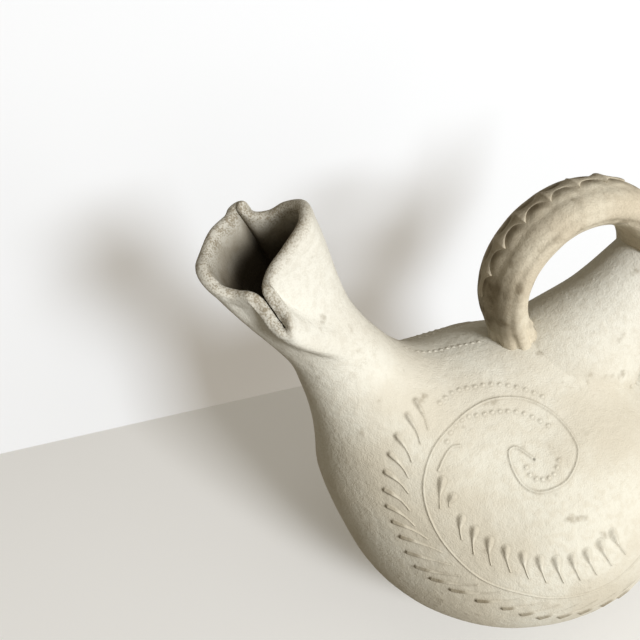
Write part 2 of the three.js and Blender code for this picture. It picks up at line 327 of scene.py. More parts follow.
def dress(name: str, clay: ClayMesh, finish: ClayFinish, nodes: tuple[str, ...]) -> bpy.types.Object:
    """Makes one clay piece.

    Args:
        name: the piece's name.
        clay: its mesh.
        finish: the clay's look.
        nodes: the solids that the piece stands for.

    Returns:
        The finished object, at the origin.
    """
    mesh = clay.write(name)
    for polygon in mesh.polygons:
        polygon.use_smooth = True
    mesh.set_sharp_from_angle(angle=SHARP_ANGLE)
    mesh.materials.append(finish.material())
    piece = bpy.data.objects.new(name, mesh)
    bpy.context.scene.collection.objects.link(piece)
    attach(piece, ROOT_BODY)
    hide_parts(*nodes)
    log.info("%s: %d vertices, %d faces", name, len(mesh.vertices), len(mesh.polygons))
    return piece


def ring_faces(rings: int, sides: int, closed: bool) -> list[tuple[int, ...]]:
    """Quads between the rings of a loft, with the ring order along the outward right hand.

    Args:
        rings: how many rings there are.
        sides: the points in a ring.
        closed: whether the last ring joins the first.

    Returns:
        The faces' corners.
    """
    faces = []
    for ring in range(rings if closed else rings - 1):
        here = ring * sides
        above = ((ring + 1) % rings) * sides
        for side in range(sides):
            after = (side + 1) % sides
            faces.append((here + side, here + after, above + after, above + side))
    return faces


@dataclass(frozen=True)
class Vessel:
    """The belly, the neck and the rump as one blended surface, in millimetres."""

    belly: tuple[float, float, float] = (175.0, 160.0, 144.0)
    foot_sink: float = 4.0
    collar: tuple[float, float, float] = (-93.0, 0.0, 160.0)
    collar_radius: float = 18.5
    lean_degrees: float = 30.0
    neck_length: float = 56.0
    neck_root_radius: float = 32.0
    blend: float = 42.0
    rump_start: tuple[float, float, float] = (-20.0, 0.0, 120.0)
    rump_end: tuple[float, float, float] = (20.0, 0.0, 138.0)
    rump_radii: tuple[float, float] = (24.0, 20.0)
    rump_blend: float = 24.0
    wall: float = 6.0

    @property
    def centre(self) -> np.ndarray:
        """The middle of the belly."""
        return np.array([0.0, 0.0, self.belly[2] / 2 - self.foot_sink])

    @property
    def axis(self) -> np.ndarray:
        """The way the neck leans."""
        lean = math.radians(self.lean_degrees)
        return np.array([-math.sin(lean), 0.0, math.cos(lean)])

    @property
    def forward(self) -> np.ndarray:
        """Square to the neck, towards the hen's front."""
        lean = math.radians(self.lean_degrees)
        return np.array([-math.cos(lean), 0.0, -math.sin(lean)])

    @property
    def neck_root(self) -> np.ndarray:
        """Where the neck's cone starts inside the belly."""
        return np.array(self.collar) - self.axis * self.neck_length

    @property
    def hub(self) -> np.ndarray:
        """A place inside from which the whole surface is seen."""
        return (self.centre + self.neck_root) / 2

    def distance(self, points: np.ndarray, inset: float) -> np.ndarray:
        """Below 0 inside the surface and above 0 outside it."""
        radii = np.array(self.belly) / 2 - inset
        shares = (points - self.centre) / radii
        length = np.linalg.norm(shares, axis=-1)
        slope = np.linalg.norm(shares / radii, axis=-1)
        belly = length * (length - 1.0) / np.maximum(slope, 1e-9)
        offset = points - self.neck_root
        along = np.clip(offset @ self.axis, 0.0, self.neck_length * 1.4)
        share = np.minimum(along / self.neck_length, 1.0)
        radius = self.neck_root_radius + (self.collar_radius - self.neck_root_radius) * share - inset
        neck = np.linalg.norm(offset - along[..., None] * self.axis, axis=-1) - radius
        front = self._blended(belly, neck, self.blend)
        return self._blended(front, self._rump(points, inset), self.rump_blend)

    @staticmethod
    def _blended(first: np.ndarray, second: np.ndarray, reach: float) -> np.ndarray:
        """Two distances joined with a smooth hollow between their surfaces."""
        overlap = np.maximum(reach - np.abs(first - second), 0.0) / reach
        return np.minimum(first, second) - overlap * overlap * reach / 4

    def _rump(self, points: np.ndarray, inset: float) -> np.ndarray:
        """The distance to the low ridge on the back."""
        spine = np.array(self.rump_end) - np.array(self.rump_start)
        offset = points - np.array(self.rump_start)
        share = np.clip(offset @ spine / (spine @ spine), 0.0, 1.0)
        radius = self.rump_radii[0] + (self.rump_radii[1] - self.rump_radii[0]) * share - inset
        return np.linalg.norm(offset - share[..., None] * spine, axis=-1) - radius

    def reach(self, directions: np.ndarray, inset: float = 0.0) -> np.ndarray:
        """The surface point in each direction from the hub."""
        near = np.zeros(len(directions))
        far = np.full(len(directions), self.belly[0])
        for _ in range(34):
            middle = (near + far) / 2
            inside = self.distance(self.hub + directions * middle[:, None], inset) < 0
            near = np.where(inside, middle, near)
            far = np.where(inside, far, middle)
        return self.hub + directions * near[:, None]

    def normals(self, points: np.ndarray) -> np.ndarray:
        """The outward normal at each point of the surface."""
        step = 0.05
        slopes = [self.distance(points + step * shift, 0.0) - self.distance(points - step * shift, 0.0)
                  for shift in np.eye(3)]
        return unit(np.stack(slopes, axis=-1))

    def flank(self, along: float, turn: float, side: Side) -> np.ndarray:
        """A point of the flank.

        Args:
            along: its X in millimetres.
            turn: degrees up from level, round the belly's middle line.
            side: the flank.

        Returns:
            The point on the surface.
        """
        angle = math.radians(turn)
        ray = np.array([0.0, side.value * math.cos(angle), math.sin(angle)])
        start = np.array([along, 0.0, self.centre[2]])
        near = 0.0
        far = self.belly[0]
        for _ in range(34):
            middle = (near + far) / 2
            if self.distance((start + ray * middle)[None], 0.0)[0] < 0:
                near = middle
            else:
                far = middle
        return start + ray * near


@dataclass(frozen=True)
class FlankOrnament:
    """The raised marks on each flank: a wing-like spiral with rows of drops and dots.

    Each guide runs through (millimetres along X, degrees up round the belly).
    """

    vessel: Vessel
    spiral: Guide = Guide((
        (-21.8, 48), (-27, 52.6), (-30.8, 52.4), (-31.6, 47.5), (-29.8, 42), (-26, 38.6), (-20, 37.6), (-10, 40),
        (-2, 48), (-4.5, 57.5), (-12, 64.5), (-22, 68.3), (-36, 69), (-50, 65), (-62.5, 57.5), (-67.5, 44),
        (-62, 24), (-50, 9), (-33, 3), (-14, 0), (8, 2), (26, 10),
    ))
    outer_heads: Guide = Guide((
        (-65, 73), (-75, 65.5), (-80.3, 56), (-80.4, 41.7), (-75.6, 23.9), (-69.8, 5.3), (-57.8, -1.7),
        (-38.5, -5.8), (-22, -11.5), (-2, -13), (18, -12),
    ))
    outer_tails: Guide = Guide((
        (-62, 65), (-70.4, 56.7), (-73, 46), (-71.4, 31), (-62, 18.1), (-56.1, 7.4), (-41.1, 2.8),
        (-25, -2), (-7, -5), (13, -6), (33, -5),
    ))
    outer_count: int = 21
    inner_heads: Guide = Guide(((-54.5, 33), (-49, 27.2), (-40.5, 21.2), (-26, 16.5), (-10, 16.5), (5, 21)))
    inner_tails: Guide = Guide(((-55, 24.5), (-49, 16.5), (-38, 12), (-22, 7.4), (-4, 7.5), (12, 12)))
    inner_count: int = 11
    upper_dots: Guide = Guide((
        (-54.3, 71.8), (-46.3, 74.5), (-37, 74.5), (-29.3, 73.9), (-22, 72.2), (-15.5, 69.8), (-9.3, 66.6),
    ))
    upper_dot_count: int = 14
    inner_dots: Guide = Guide((
        (-55.4, 59.9), (-51.4, 63.7), (-44.6, 65.9), (-37.6, 65.5), (-30.6, 65.2), (-23.7, 63.9), (-17.6, 61.6),
        (-11.1, 57.3),
    ))
    inner_dot_count: int = 15
    hook_dots: Guide = Guide(((-26.1, 46.1), (-24.9, 42.8), (-20.3, 41.3), (-15.5, 42.3), (-12, 46)))
    hook_dot_count: int = 8
    ridge_dots: Guide = Guide(((-60, 90), (-42, 91), (-25, 90)))
    ridge_dot_count: int = 13
    thin_stroke: Guide = Guide(((-50.6, 57.8), (-54, 57.8), (-57.5, 55.4), (-60.7, 51.7)))
    small_drops: tuple[tuple[tuple[float, float], tuple[float, float]], ...] = (
        ((-60, 48), (-62, 38)),
        ((-57, 41.5), (-58.5, 38)),
    )
    line_width: float = 1.35
    line_height: float = 0.42
    outer_width: float = 2.9
    outer_bend: float = -0.8
    outer_soil_and_shade: float = 1.0
    inner_width: float = 4.0
    inner_bend: float = 0.6
    inner_soil_and_shade: float = 0.28
    drop_height: float = 1.05
    tail_width: float = 0.8
    dot_width: float = 1.9
    dot_height: float = 0.42

    def strokes(self, side: Side) -> list[Stroke]:
        """All marks of one flank."""
        made = [self._line(self.spiral, side), self._line(self.thin_stroke, side)]
        for share in np.linspace(0.0, 1.0, self.outer_count):
            path = self._bent(self.outer_heads.at(share), self.outer_tails.at(share), self.outer_bend, side)
            # Soil and painted shade on the head, where the raised head casts its shadow. It is stronger on the lower
            # drops.
            soil_and_shade = self.outer_soil_and_shade * (0.35 + 0.65 * smooth_step((share - 0.1) / 0.3))
            made.append(Stroke(path, self.outer_width, self.tail_width, self.drop_height, soil_and_shade))
        inner = list(zip(self.inner_heads.even(self.inner_count), self.inner_tails.even(self.inner_count)))
        for head, tail in inner + [(np.array(head), np.array(tail)) for head, tail in self.small_drops]:
            path = self._bent(head, tail, self.inner_bend, side)
            made.append(Stroke(path, self.inner_width, self.tail_width, self.drop_height, self.inner_soil_and_shade))
        rows = [(self.upper_dots, self.upper_dot_count), (self.inner_dots, self.inner_dot_count),
                (self.hook_dots, self.hook_dot_count)]
        if side is Side.NEAR:
            rows.append((self.ridge_dots, self.ridge_dot_count))
        for guide, count in rows:
            made.extend(self._dot(place, side) for place in guide.even(count))
        return made

    def _line(self, guide: Guide, side: Side) -> Stroke:
        """A line of even width along a guide."""
        path = np.array([self.vessel.flank(*guide.at(step / 150.0), side) for step in range(151)])
        return Stroke(path, self.line_width, self.line_width, self.line_height)

    def _bent(self, head: np.ndarray, tail: np.ndarray, bend: float, side: Side) -> np.ndarray:
        """A drop's path, whose middle lies some millimetres in front of the straight way."""
        shares = np.linspace(0.0, 1.0, 9)[:, None]
        places = head + (tail - head) * shares - np.sin(np.pi * shares) * (bend, 0.0)
        return np.array([self.vessel.flank(*place, side) for place in places])

    def _dot(self, place: np.ndarray, side: Side) -> Stroke:
        """A round dot."""
        path = np.array([self.vessel.flank(*place, side), self.vessel.flank(*(place + (0.3, 0.0)), side)])
        return Stroke(path, self.dot_width, self.dot_width, self.dot_height)


def stroke_height(points: np.ndarray, strokes: list[Stroke]) -> tuple[np.ndarray, np.ndarray, np.ndarray]:
    """How high the marks stand at some points.

    Args:
        points: places on the surface, one a row.
        strokes: the marks.

    Returns:
        The height at each point, its gap to the nearest mark, below 0 on the mark, and the soil and painted shade on
        the marks' heads.
    """
    height = np.zeros(len(points))
    gap = np.full(len(points), 1e9)
    soiled_shaded_heads = np.zeros(len(points))
    for mark in strokes:
        low = mark.path.min(axis=0) - 6.0
        high = mark.path.max(axis=0) + 6.0
        close = np.flatnonzero(np.all((points > low) & (points < high), axis=1))
        if len(close) == 0:
            continue
        places = points[close]
        count = len(mark.path) - 1
        best = np.full(len(places), 1e9)
        width = np.full(len(places), mark.tail_width)
        reached = np.ones(len(places))
        for index in range(count):
            start = mark.path[index]
            span = mark.path[index + 1] - start
            along = np.clip((places - start) @ span / max(span @ span, 1e-9), 0.0, 1.0)
            away = np.linalg.norm(places - start - along[:, None] * span, axis=1)
            share = (index + along) / count
            wide = mark.tail_width + (mark.head_width - mark.tail_width) * (1 - smooth_step(share / 0.65))
            nearer = away - wide / 2 < best
            best = np.where(nearer, away - wide / 2, best)
            width = np.where(nearer, wide, width)
            reached = np.where(nearer, share, reached)
        across = np.maximum(1.0 + best / (width / 2), 0.0)
        top = mark.height * (0.35 + 0.65 * width / mark.head_width)
        cover = 1.0 - smooth_step(across / 1.1)
        height[close] = np.maximum(height[close], top * cover)
        gap[close] = np.minimum(gap[close], best)
        # Soil and painted shade over the first part of the mark, where the raised head casts its shadow.
        on_head = (1.0 - smooth_step((reached - 0.16) / 0.2)) * np.minimum(cover * 3.0, 1.0)
        soiled_shaded_heads[close] = np.maximum(soiled_shaded_heads[close], on_head * mark.head_soil_and_shade)
    return height, gap, soiled_shaded_heads


@dataclass(frozen=True)
class Belly:
    """The hollow body with its neck stub and the raised marks on both flanks."""

    vessel: Vessel
    ornament: FlankOrnament
    foot_soil_and_shade: float = 0.3
    foot_soil_and_shade_width: float = 0.45
    pit_radius: float = 0.9
    pit_depth: float = 0.7
    rows: int = 100
    columns: int = 150
    inner_rows: int = 40
    inner_columns: int = 56
    floor_thickness: float = 8.0
    unevenness: float = 0.45

    def build(self) -> bpy.types.Object:
        """Makes the body's mesh and dresses it."""
        strokes = self.ornament.strokes(Side.NEAR) + self.ornament.strokes(Side.FAR)
        outer = self._sphere(self.rows, self.columns)
        for spread in (3.2, 1.6, 0.7):
            self._refine(outer, strokes, spread)
        directions = unit(np.array([vertex.co for vertex in outer.verts]))
        points = self.vessel.reach(directions)
        points = points + self.vessel.normals(points) * self._uneven(points)[:, None]
        height, gap, soiled_shaded_heads = stroke_height(points, strokes)
        # Painted shade with some soil in the crease along the foot of every mark.
        soil_and_shade = self.foot_soil_and_shade * np.exp(-((gap / self.foot_soil_and_shade_width) ** 2))
        soil_and_shade = np.maximum(soil_and_shade, soiled_shaded_heads)
        pit = self._pit(points)
        points = points + self.vessel.normals(points) * (height - pit * self.pit_depth)[:, None]
        points[:, 2] = np.maximum(points[:, 2], 0.0)
        self._place(outer, points)
        layer = outer.verts.layers.float.new("soil_and_shade")
        for vertex, share in zip(outer.verts, soil_and_shade):
            vertex[layer] = share
        inner = self._sphere(self.inner_rows, self.inner_columns)
        directions = unit(np.array([vertex.co for vertex in inner.verts]))
        inside = self.vessel.reach(directions, self.vessel.wall)
        inside[:, 2] = np.maximum(inside[:, 2], self.floor_thickness)
        self._place(inner, inside)
        bmesh.ops.reverse_faces(inner, faces=inner.faces)
        vertices, faces, soil_and_shade = self._joined(outer, inner)
        wear = smooth_step(1.0 - np.abs(self._past_collar(vertices)) / 6.0) * 0.25
        # Painted deep shade on the inner surface and in the spiral pits.
        deep_shade = self.vessel.distance(vertices, self.vessel.wall * 0.7) < 0
        deep_shade = np.maximum(deep_shade, self._pit(vertices)) * INSIDE_SHADE
        clay = ClayMesh(vertices, faces, wear, soil_and_shade, deep_shade)
        return dress("hen_body", clay, BODY_CLAY, ("bowl", "shoulder"))

    def _pit(self, points: np.ndarray) -> np.ndarray:
        """The small hollow at the inner end of each spiral, 1 in its middle."""
        share = np.zeros(len(points))
        for side in Side:
            away = np.linalg.norm(points - self.vessel.flank(*self.ornament.spiral.knots[0], side), axis=1)
            share = np.maximum(share, 1.0 - smooth_step(away / self.pit_radius))
        return share

    def _past_collar(self, points: np.ndarray) -> np.ndarray:
        """How far each point lies past the collar's plane."""
        return (points - np.array(self.vessel.collar)) @ self.vessel.axis

    def _uneven(self, points: np.ndarray) -> np.ndarray:
        """The slow hand-made unevenness of the wall, none at the foot and the collar."""
        level = smooth_step((points[:, 2] - 2.0) / 14.0) * smooth_step(-self._past_collar(points) / 14.0)
        waves = soft_noise(points, 38.0, 3.1) + 0.35 * soft_noise(points, 13.0, 7.7)
        waves += 0.16 * soft_noise(points, 4.5, 5.9)
        return waves * self.unevenness * level

    @staticmethod
    def _sphere(rows: int, columns: int) -> bmesh.types.BMesh:
        """A sphere of directions with its poles on the flanks."""
        made = bmesh.new()
        bmesh.ops.create_uvsphere(made, u_segments=columns, v_segments=rows, radius=1.0)
        bmesh.ops.rotate(made, verts=made.verts, matrix=Matrix.Rotation(math.radians(90), 3, "X"))
        return made

    def _refine(self, draft: bmesh.types.BMesh, strokes: list[Stroke], spread: float) -> None:
        """Cuts the faces near the marks into smaller ones."""
        draft.verts.ensure_lookup_table()
        directions = unit(np.array([vertex.co for vertex in draft.verts]))
        points = self.vessel.reach(directions)
        _, gap, _ = stroke_height(points, strokes)
        close = (gap < spread) | (np.abs(self._past_collar(points)) < 4.0 * spread)
        edges = [edge for edge in draft.edges if close[edge.verts[0].index] or close[edge.verts[1].index]]
        bmesh.ops.subdivide_edges(draft, edges=edges, cuts=1, use_grid_fill=True)
        draft.verts.index_update()

    @staticmethod
    def _place(draft: bmesh.types.BMesh, points: np.ndarray) -> None:
        """Moves each vertex to its point."""
        for vertex, point in zip(draft.verts, points):
            vertex.co = point

    def _joined(self, outer: bmesh.types.BMesh,
                inner: bmesh.types.BMesh) -> tuple[np.ndarray, list, np.ndarray]:
        """Opens both surfaces at the collar and joins them there."""
        both = bmesh.new()
        both.verts.layers.float.new("soil_and_shade")
        for draft in (outer, inner):
            mesh = bpy.data.meshes.new("draft")
            draft.to_mesh(mesh)
            both.from_mesh(mesh)
            bpy.data.meshes.remove(mesh)
            draft.free()
        whole = both.verts[:] + both.edges[:] + both.faces[:]
        cut = bmesh.ops.bisect_plane(
            both, geom=whole, plane_co=self.vessel.collar, plane_no=self.vessel.axis.tolist(),
            clear_outer=True,
        )
        rim = [piece for piece in cut["geom_cut"] if isinstance(piece, bmesh.types.BMEdge)]
        bmesh.ops.bridge_loops(both, edges=rim)
        bmesh.ops.triangulate(both, faces=[face for face in both.faces if len(face.verts) > 4])
        both.verts.index_update()
        vertices = np.array([vertex.co for vertex in both.verts])
        faces = [tuple(vertex.index for vertex in face.verts) for face in both.faces]
        layer = both.verts.layers.float["soil_and_shade"]
        soil_and_shade = np.array([vertex[layer] for vertex in both.verts])
        both.free()
        return self._round_rim(vertices), faces, soil_and_shade

    def _round_rim(self, vertices: np.ndarray) -> np.ndarray:
        """Moves the outer rim at the collar onto its circle, where the spout starts."""
        past = self._past_collar(vertices)
        across = vertices - np.array(self.vessel.collar) - past[:, None] * self.vessel.axis
        radius = np.linalg.norm(across, axis=1)
        rim = (np.abs(past) < 0.01) & (radius > self.vessel.collar_radius - self.vessel.wall / 2)
        vertices[rim] += across[rim] * (self.vessel.collar_radius / radius[rim] - 1.0)[:, None]
        return vertices


@dataclass(frozen=True)
class Fold:
    """A place where the front lip and the rear lip are pinched together.

    Its numbers are millimetres: where it lies forward of the spout's axis, how far out its
    legs start and end, the slit between them, how far each leg leans out at its start, and the
    heights of the front leg's start and end, the tip, and the rear leg's end and start.
    """

    forward: float
    start: float
    end: float
    turn: float
    slit: float
    lean: float
    heights: tuple[float, float, float, float, float]

    def places(self, wall: float, steps: int = 4) -> list[tuple[float, float, float]]:
        """The lip's middle line round the fold, from its front leg to its rear leg."""
        half = (wall + self.slit) / 2
        outward = math.radians(self.turn)
        side = math.copysign(1.0, self.turn)
        made = [(self.forward + half + self.lean, self.start, self.heights[0])]
        for step in range(steps + 1):
            share = step / steps
            turn = outward + side * math.pi * (share - 0.5)
            height = float(np.interp(share, (0.0, 0.5, 1.0), self.heights[1:4]))
            made.append((self.forward + half * math.cos(turn), self.end + half * math.sin(turn), height))
        made.append((self.forward - half - self.lean, self.start, self.heights[4]))
        return made


def closed_curve(knots: np.ndarray, count: int) -> np.ndarray:
    """Points spread evenly along a closed centripetal Catmull-Rom curve.

    Args:
        knots: the places that the curve runs through.
        count: how many points to make.

    Returns:
        The points, one a row, starting at the first knot.
    """
    steps = 24
    fine = []
    for index in range(len(knots)):
        before, start, end, after = (knots[(index + shift) % len(knots)] for shift in (-1, 0, 1, 2))
        began = math.sqrt(np.linalg.norm(start - before))
        ended = began + math.sqrt(np.linalg.norm(end - start))
        passed = ended + math.sqrt(np.linalg.norm(after - end))
        for now in np.linspace(began, ended, steps, endpoint=False):
            rise = _between(before, start, 0.0, began, now)
            level = _between(start, end, began, ended, now)
            fall = _between(end, after, ended, passed, now)
            first = _between(rise, level, 0.0, ended, now)
            second = _between(level, fall, began, passed, now)
            fine.append(_between(first, second, began, ended, now))
    fine.append(fine[0])
    path = np.array(fine)
    lengths = np.concatenate([[0.0], np.cumsum(np.linalg.norm(np.diff(path, axis=0), axis=1))])
    wanted = lengths[-1] * np.arange(count) / count
    return np.stack([np.interp(wanted, lengths, path[:, axis]) for axis in range(3)], axis=1)


def _between(first: np.ndarray, second: np.ndarray, start: float, end: float, now: float) -> np.ndarray:
    """The place on the line from one point to another at a moment between two others."""
    return (first * (end - now) + second * (now - start)) / (end - start)


@dataclass(frozen=True)
class Spout:
    """The flared spout, whose lips are pinched together at both sides.

    Each place of the lip is (forward, sideways, height) from the collar, in millimetres.
    """

    vessel: Vessel
    wall: float = 4.2
    start_degrees: float = 10.0
    front_lip: tuple[tuple[float, float, float], ...] = (
        (16.9, 5, 66), (20.2, -4, 66), (19.6, -10.4, 61.4), (15.2, -13.4, 55.2),
    )
    near_fold: Fold = Fold(7.4, -18.2, -22.8, -90.0, 0.6, 0.5, (52.8, 42, 37.5, 46, 53.2))
    rear_lip: tuple[tuple[float, float, float], ...] = (
        (0.2, -16.2, 56.4), (-8.8, -13.2, 58.6), (-18.6, -8.5, 61), (-21.4, 1, 61.6), (-16, 10, 60.6),
        (-9.6, 13.6, 59.6),
    )
    far_fold: Fold = Fold(-0.4, 15.4, 17.4, 100.0, 0.6, 1.6, (66.8, 66.6, 66.8, 67, 62.4))
    far_front_lip: tuple[tuple[float, float, float], ...] = ((10.2, 13, 66.8),)
    waist: float = 0.2
    lip_roll: float = 0.5
    rows: int = 90
    columns: int = 420
    lip_steps: int = 10

    def build(self) -> bpy.types.Object:
        """Makes the spout's mesh and dresses it."""
        line = self._lip_line()
        outside = self._outline(line, self.wall / 2)
        inside = self._outline(line, -self.wall / 2)
        rings = []
        wear = []
        soil_and_shade = []
        deep_shade = []
        for row in range(self.rows + 1):
            share = row / self.rows
            swell = self.lip_roll * smooth_step((share - 0.9) / 0.08)
            rings.append(self._ring(self._outline(line, self.wall / 2 + swell), swell, share))
            wear.append(0.12 + 0.4 * smooth_step((share - 0.955) / 0.045))
            soil_and_shade.append(0.2 * smooth_step((share - 0.955) / 0.045))
            deep_shade.append(0.0)
        top = self._ring(outside, 0.0, 1.0)
        under = self._ring(inside, -self.wall, 1.0)
        first = rings[-1]
        for step in range(1, self.lip_steps):
            angle = math.pi * step / self.lip_steps
            middle = (first + under) / 2
            half = (first - under) / 2
            rings.append(middle + half * math.cos(angle) + self.vessel.axis * (self.wall * 0.5 * math.sin(angle)))
            wear.append(0.5 + 0.5 * smooth_step(step / self.lip_steps * 2.0))
            soil_and_shade.append(0.4)
            deep_shade.append(0.0)
        for row in range(self.rows, -1, -2):
            share = row / self.rows
            rings.append(self._ring(inside, -self.wall, share))
            wear.append(0.15 + 0.85 * smooth_step((share - 0.9) / 0.1))
            # Inside the spout: soil with painted shade, and painted deep shade, both darker further down.
            soil_and_shade.append(1.0 - 0.5 * smooth_step((share - 0.86) / 0.14))
            deep_shade.append(INSIDE_SHADE * (1.0 - smooth_step((share - 0.74) / 0.25)))
        vertices = np.array(rings).reshape(-1, 3)
        offset = vertices - np.array(self.vessel.collar)
        height = offset @ self.vessel.axis
        away = unit(offset - height[:, None] * self.vessel.axis)
        lift = soft_noise(vertices, 21.0, 1.9) * 0.35 + soft_noise(vertices, 5.0, 6.2) * 0.09
        lift *= smooth_step(height / 14.0)
        vertices = vertices + away * lift[:, None]
        faces = ring_faces(len(rings), self.columns, closed=True)
        worn, soiled_and_shaded, deep_shaded = (np.repeat(values, self.columns) for values in (wear, soil_and_shade, deep_shade))
        return dress("pouring_spout", ClayMesh(vertices, faces, worn, soiled_and_shaded, deep_shaded), BODY_CLAY, ("spout",))

    def _lip_line(self) -> np.ndarray:
        """The middle line of the lip, as (forward, sideways, height)."""
        places = [*self.front_lip, *self.near_fold.places(self.wall), *self.rear_lip]
        places += [*reversed(self.far_fold.places(self.wall)), *self.far_front_lip]
        return closed_curve(np.array(places, dtype=float), self.columns)

    @staticmethod
    def _outline(line: np.ndarray, offset: float) -> np.ndarray:
        """The lip's middle line moved outward in plan."""
        along = unit(np.roll(line[:, :2], -1, axis=0) - np.roll(line[:, :2], 1, axis=0))
        return np.stack([line[:, 0] - along[:, 1] * offset, line[:, 1] + along[:, 0] * offset, line[:, 2]], axis=1)

    def _ring(self, outline: np.ndarray, swell: float, share: float) -> np.ndarray:
        """One ring of the spout, between the round collar and an outline of the mouth."""
        opening = float(smooth_step(share))
        turns = math.radians(self.start_degrees) - 2 * math.pi * np.arange(self.columns) / self.columns
        radius = self.vessel.collar_radius + swell - self.waist * share * outline[:, 2] * (1 - share) ** 3
        forward = radius * np.cos(turns) * (1 - opening) + outline[:, 0] * opening
        sideways = radius * np.sin(turns) * (1 - opening) + outline[:, 1] * opening
        return (np.array(self.vessel.collar) + np.outer(share * outline[:, 2], self.vessel.axis)
                + np.outer(forward, self.vessel.forward) + np.outer(sideways, (0.0, 1.0, 0.0)))


class SweepTree:
    """A Geometry Nodes tree that bends a tube round a loop, in millimetres until its last step.

    The tube starts as a flat grid: one side of the grid becomes its length and the other the way
    round its section. Both ends shrink to a point, so the tube is closed.
    """

    def __init__(self, name: str, sizes: dict[str, float], rows: int, sides: int) -> None:
        """Makes the tree with its named inputs and its grid.

        Args:
            name: the tree's name.
            sizes: the value of each named input.
            rows: the faces along the tube.
            sides: the faces round it.
        """
        self.tree = bpy.data.node_groups.new(name, "GeometryNodeTree")
        self.tree.is_modifier = True
        self.settings: dict[str, float | int] = {}
        for label, value in sizes.items():
            self._input(label, "NodeSocketFloat", value)
        self._input("Rows", "NodeSocketInt", rows + 1)
        self._input("Sides", "NodeSocketInt", sides + 1)
        self.tree.interface.new_socket("Geometry", in_out="OUTPUT", socket_type="NodeSocketGeometry")
        inlet = self.tree.nodes.new("NodeGroupInput")
        self.size = {label: Wire(self.tree, inlet.outputs[label]) for label in sizes}
        self.grid = self.tree.nodes.new("GeometryNodeMeshGrid")
        self.tree.links.new(inlet.outputs["Rows"], self.grid.inputs["Vertices X"])
        self.tree.links.new(inlet.outputs["Sides"], self.grid.inputs["Vertices Y"])
        place = self.tree.nodes.new("GeometryNodeInputPosition")
        parts = self.tree.nodes.new("ShaderNodeSeparateXYZ")
        self.tree.links.new(place.outputs["Position"], parts.inputs["Vector"])
        self.share = Wire(self.tree, parts.outputs["X"]) + 0.5
        self.turn = (Wire(self.tree, parts.outputs["Y"]) + 0.5) * (2 * math.pi)

    def _input(self, label: str, kind: str, value: float | int) -> None:
        """Adds one named input and keeps its value under the socket's identifier."""
        socket = self.tree.interface.new_socket(label, in_out="INPUT", socket_type=kind)
        self.settings[socket.identifier] = value

    def near_end(self) -> Wire:
        """The share of the length that is left to the nearer end."""
        return self.share.math("MINIMUM", self.share * -1.0 + 1.0)

    def finish(self, angle: Wire, reach: Wire, back: Wire, sideways: Wire) -> None:
        """Places the grid's points and closes the tree.

        Args:
            angle: the turn round the loop.
            reach: the distance from the loop's centre.
            back: how far before the loop's start, below 0 on the straight leg.
            sideways: the place along Y.
        """
        cosine = angle.math("COSINE")
        sine = angle.math("SINE")
        spot = self.tree.nodes.new("ShaderNodeCombineXYZ")
        values = (
            self.size["Centre X"] + cosine * reach + sine * back,
            sideways,
            self.size["Centre Z"] + sine * reach - cosine * back,
        )
        for value, socket in zip(values, spot.inputs):
            self.tree.links.new((value * MILLIMETRE).socket, socket)
        move = self._step("GeometryNodeSetPosition", self.grid.outputs["Mesh"])
        self.tree.links.new(spot.outputs["Vector"], move.inputs["Position"])
        weld = self._step("GeometryNodeMergeByDistance", move.outputs[0])
        weld.inputs["Distance"].default_value = 1e-6
        real = self._step("GeometryNodeRealizeInstances", weld.outputs[0])
        paint = self._step("GeometryNodeSetMaterial", real.outputs[0])
        out = self.tree.nodes.new("NodeGroupOutput")
        self.tree.links.new(paint.outputs[0], out.inputs[0])

    def _step(self, kind: str, before: bpy.types.NodeSocket) -> bpy.types.Node:
        """Adds a node that the geometry passes through."""
        node = self.tree.nodes.new(kind)
        self.tree.links.new(before, node.inputs[0])
        return node

    def mesh(self) -> tuple[np.ndarray, list[tuple[int, ...]]]:
        """Runs the tree.

        Returns:
            The vertices in millimetres and the faces of the plain mesh.
        """
        holder = bpy.data.objects.new(self.tree.name, bpy.data.meshes.new(self.tree.name))
        bpy.context.scene.collection.objects.link(holder)
        modifier = holder.modifiers.new("sweep", "NODES")
        modifier.node_group = self.tree
        for identifier, value in self.settings.items():
            modifier[identifier] = value
        graph = bpy.context.evaluated_depsgraph_get()
        made = bpy.data.meshes.new_from_object(holder.evaluated_get(graph), depsgraph=graph)
        holder.modifiers.remove(modifier)
        places = np.empty(len(made.vertices) * 3)
        made.vertices.foreach_get("co", places)
        faces = [tuple(polygon.vertices) for polygon in made.polygons]
        bpy.data.objects.remove(holder)
        bpy.data.meshes.remove(made)
        return places.reshape(-1, 3) / MILLIMETRE, faces


